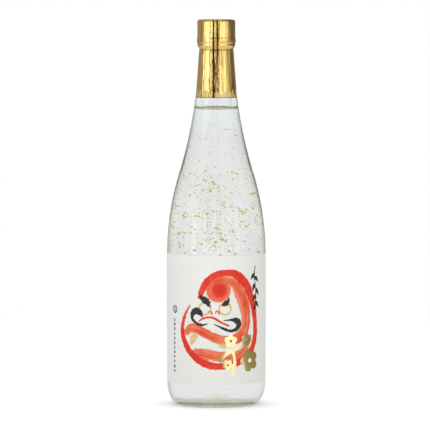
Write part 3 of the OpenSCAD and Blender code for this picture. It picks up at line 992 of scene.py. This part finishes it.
# %% Aluminium finish
metal_finish, net = new_finish("cap_aluminium")
brushed = net.grain(380, detail=4, stretch=(0.25, 0.25, 3))
smudge = net.grain(90, detail=3)
metal_colour = net.mix(net.step(smudge, 0.35, 0.7), (0.80, 0.79, 0.76), (0.70, 0.69, 0.665))
net.out(net.surface(
    Base_Color=metal_colour, Metallic=1.0, Roughness=net.step(brushed, 0.25, 0.8, 0.24, 0.40),
    Normal=net.bump(brushed, 0.03 * MM, 0.6)))

# %% Cap
cap_t = 0.25 * MM
knurls = 60
knurl_top = cap_top - cap_corner - 0.6 * MM
knurl_foot = knurl_top - 5 * MM
in_top = cap_top - cap_t


def cap_line(r, ceiling, steps):
    """One side of the cap's sheet, from its axis to the end of its rolled foot."""
    corner = cap_corner - (cap_top - ceiling)
    line = chain((0, ceiling), ((cap_r - cap_corner, ceiling), 8))
    line += arc((cap_r - cap_corner, cap_top - cap_corner), corner, corner, 90, 0, 8)[1:]
    line += run((r, cap_top - cap_corner), (r, cap_foot + roll_h), steps)
    return line + arc((r, cap_foot + roll_h / 2), roll_r, roll_h / 2, 90, -90, 8)[1:]


cap = turned(cap_line(cap_r, cap_top, 56) + cap_line(cap_r - cap_t, in_top, 56)[::-1], 360)


def cap_rolling(angle, z, r):
    """The rule that rolls the knurls and the thread into the cap's side."""
    if r < cap_r - 1.2 * MM:
        return 0, 0
    band = ease(z, knurl_foot, knurl_foot + 0.3 * MM) * (
        1 - ease(z, knurl_top - 0.3 * MM, knurl_top))
    knurl = knurl_out * band * (0.5 + 0.5 * math.cos(knurls * angle))
    start = thread_z - thread_pitch / 3
    groove = helix_lift(angle, z, start, math.radians(60), 0.62 * MM, 0.12 * MM)
    return knurl - 0.85 * MM * groove, 0


reshape(cap, cap_rolling)
piece("screw_cap_shell", cap, metal_finish, "cap", "cap_aluminium", "screw_cap")

# %% Tamper band
tuck, tuck_h = 0.8 * MM, 1.1 * MM
band_r = cap_r - cap_t
band_in = chain((band_r, break_z), ((band_r, band_foot + tuck_h), 8),
                ((band_r - tuck, band_foot), 4))
band_out = [(r + cap_t, z) for r, z in band_in]
band = turned(band_in + band_out[::-1], 240, closed=True)
bridges = 8
bridge_w = 1.2 * MM


def bridge(angle, z, r):
    """A torn bridge is a low tab on the band's rim."""
    turn = math.tau / bridges
    away = abs((angle + turn / 2) % turn - turn / 2) * r
    on_rim = 1 if z > break_z - 0.01 * MM else 0
    return 0, 0.06 * MM * on_rim * (1 - ease(away, bridge_w / 2, bridge_w / 2 + 0.4 * MM))


reshape(band, bridge)
piece("tamper_ring", band, metal_finish, "bottle", "cap_aluminium", "tamper_band")

# %% [markdown]
# ## The liner
# A wad of white foam seals the cap on the lip. The lip has pressed a shallow ring into its
# underside.

# %% Liner
foam_finish, net = new_finish("liner_foam")
cells = net.add("ShaderNodeTexVoronoi", None, {"Vector": net.place(), "Scale": 2600})
net.out(net.surface(
    Base_Color=net.mix(cells, (0.86, 0.86, 0.83), (0.92, 0.92, 0.90)),
    Roughness=net.step(cells, 0, 0.8, 0.6, 0.75), Normal=net.bump(cells, 0.08 * MM, 0.6)))
wad_foot, wad_top, wad_r = foot("cap_liner"), top("cap_liner"), reach("cap_liner")
bevel = 0.2 * MM
wad_line = chain((0, wad_top), ((wad_r - bevel, wad_top), 4))
wad_line += [(wad_r, wad_top - bevel), (wad_r, wad_foot + bevel)]
wad_line += run((wad_r - bevel, wad_foot), (0, wad_foot), 40)
wad = turned(wad_line, 96)


def lip_print(angle, z, r):
    """The rule for the ring that the lip has pressed in."""
    ring_r = bore_r + lip_r
    low = 1 if z < wad_foot + 0.1 * MM else 0
    return 0, 0.12 * MM * low * math.exp(-((r - ring_r) / (0.8 * MM)) ** 2)


reshape(wad, lip_print)
piece("liner_wad", wad, foam_finish, "liner", "liner_foam", "cap_liner")

# %% [markdown]
# ## The studio
# Clear glass only shows what stands round it. A plain white room would hide it, so the room is
# bright behind the bottle, has one wide soft box in front with a brighter strip in it, and is
# darker at the sides, which draws the edges of the glass. The room is written into the world, as
# a brightness for each direction. The camera itself sees plain white.

# %% Floor
back_light, side_light, front_light = 0.86, 0.55, 0.66
soft_light, top_light = 1.85, 1.15
floor_r = 0.75
floor_finish, net = new_finish("floor")
dust = net.grain(6, detail=3)
plain = net.surface(Base_Color=net.mix(dust, (0.90, 0.90, 0.90), (0.93, 0.93, 0.93)),
                    Roughness=0.9, Emission_Color=(1, 1, 1, 1), Emission_Strength=0.34)
glow = net.add("ShaderNodeEmission", None, {"Color": (1, 1, 1, 1), "Strength": back_light})
net.out(net.add("ShaderNodeMixShader", None, {0: net.ray(CAMERA), 1: glow, 2: plain}))
bm = bmesh.new()
bmesh.ops.create_circle(bm, cap_ends=True, segments=96, radius=floor_r)
floor = show("floor", bm, floor_finish)
print(f"floor {2 * floor_r:.2f} m across")

# %% Room
world = bpy.data.worlds.new("studio")
bpy.context.scene.world = world
world.use_nodes = True
net = Net(world.node_tree)
way = net.add("ShaderNodeTexCoord", out=0)
east, north, up = (net.add("ShaderNodeSeparateXYZ", None, {0: way}, out=i) for i in range(3))
bearing = net.add("ShaderNodeMath", {"operation": "ARCTAN2"}, {0: east, 1: 0 - north}) * (
    180 / math.pi)


def between(low, high, soft):
    """1 between two bearings, in degrees right of the front."""
    return net.band(bearing, low, high, soft)


behind = net.step(bearing, 118, 142) + net.step(0 - bearing, 100, 118)
front = between(-80, 68, 10)
level_view = 1 - net.step(abs(up), 0.2, 0.34)
overhead = net.step(up, 0.75, 0.95)
light = side_light + behind * (back_light - side_light)
light = light + front * (front_light - side_light)
light = light + front * level_view * (soft_light - front_light)
light = light + between(-30, -21, 1.5) * level_view
light = light * (1 - overhead) + overhead * top_light
print(f"room lit from {side_light} at its sides to {soft_light} in its soft box")

# %% [markdown]
# Mirrors see a room of their own, with dim sides, dark strips across the soft box and one brighter
# band, which draw the upright lines on the gold and the glass. Light through the glass sees an
# almost even room, because the full bottle is a lens and would gather its parts into blobs.

# %% What mirrors and glass see
left_dim, more_dim_right = 0.38, 0.26
mirror_dim, band_lift = 0.12, 0.5
through_side = 0.72  # side light for what comes through the glass
mirrored = net.ray(GLOSSY) * net.ray(REFLECTED)
sides = 1 - between(-78, 90, 9)
side_dim = left_dim + more_dim_right * net.step(bearing, -5, 5)
light = light * (1 - mirrored * sides * side_dim)
for low, high, dim in ((-68, -63, 0.55), (-46, -42, 0.4), (21, 24, 0.45), (36, 45, 0.35),
                       (57, 63, 0.6)):
    light = light * (1 - mirrored * between(low, high, 1.5) * dim)
light = light * (1 - mirrored * (mirror_dim - band_lift * between(-62, -47, 2)))
bent = net.ray(TRANSMITTED)
light = light * (1 - bent) + bent * (
    through_side + (behind + front) * (back_light - through_side))
camera_ray = net.ray(CAMERA)
strength = light * (1 - camera_ray) + camera_ray
air = net.mix(camera_ray, (0.97, 0.985, 1.0), (1, 1, 1))
net.add_output("ShaderNodeOutputWorld", net.add(
    "ShaderNodeBackground", None, {"Color": air, "Strength": strength}))
print(f"mirrors see {mirror_dim:.0%} less, and the glass lets {through_side} in from the sides")

# %% [markdown]
# Three dark flags hang in front of the capsule. Only reflections see them, and they draw the
# broad dark lines down the gold without darkening the glass below.

# %% Flags
flag_finish, net = new_finish("flag")
net.out(net.surface(Base_Color=(0.004, 0.003, 0.002, 1), Roughness=1.0, Specular_IOR_Level=0.0))
flag_away, flag_z, flag_h = 0.3, 0.29, 0.3
bm = bmesh.new()
for middle, wide in ((-0.182, 0.030), (-0.092, 0.084), (0.031, 0.072)):
    bmesh.ops.create_grid(bm, x_segments=1, y_segments=1, size=0.5, matrix=(
        Matrix.Translation((middle, -flag_away, flag_z))
        @ Matrix.Rotation(math.radians(90), 4, "X") @ Matrix.Diagonal((wide, flag_h, 1, 1))))
flag = show("flag", bm, flag_finish)
flag.visible_camera = flag.visible_diffuse = flag.visible_shadow = False
flag.visible_transmission = False
print(f"{len(flag.data.polygons)} flags, {flag_away} m in front")

# %% [markdown]
# ## Camera
# A long lens from a few metres away, a little above the bottle, keeps its sides upright and shows
# the label square on.

# %% Camera
lens = bpy.data.cameras.new("camera")
lens.lens, lens.sensor_width = 375.5, 36
lens.clip_start, lens.clip_end = 0.1, 20
camera_away, camera_z = 3.495, 0.34
camera = bpy.data.objects.new("camera", lens)
aim = Vector((-1.0 * MM, 0, 147.7 * MM))
camera.location = (aim.x, -camera_away, camera_z)
camera.rotation_euler = (aim - camera.location).to_track_quat("-Z", "Y").to_euler()
scene = bpy.context.scene
scene.collection.objects.link(camera)
scene.camera = camera
scene.view_settings.view_transform = "Standard"
scene.cycles.caustics_reflective = False
scene.cycles.caustics_refractive = False
scene.cycles.max_bounces = 24
scene.cycles.transmission_bounces = 20
scene.cycles.transparent_max_bounces = 20
print(f"camera {camera.location.length:.2f} m away")

# %% Done
print("scene built")
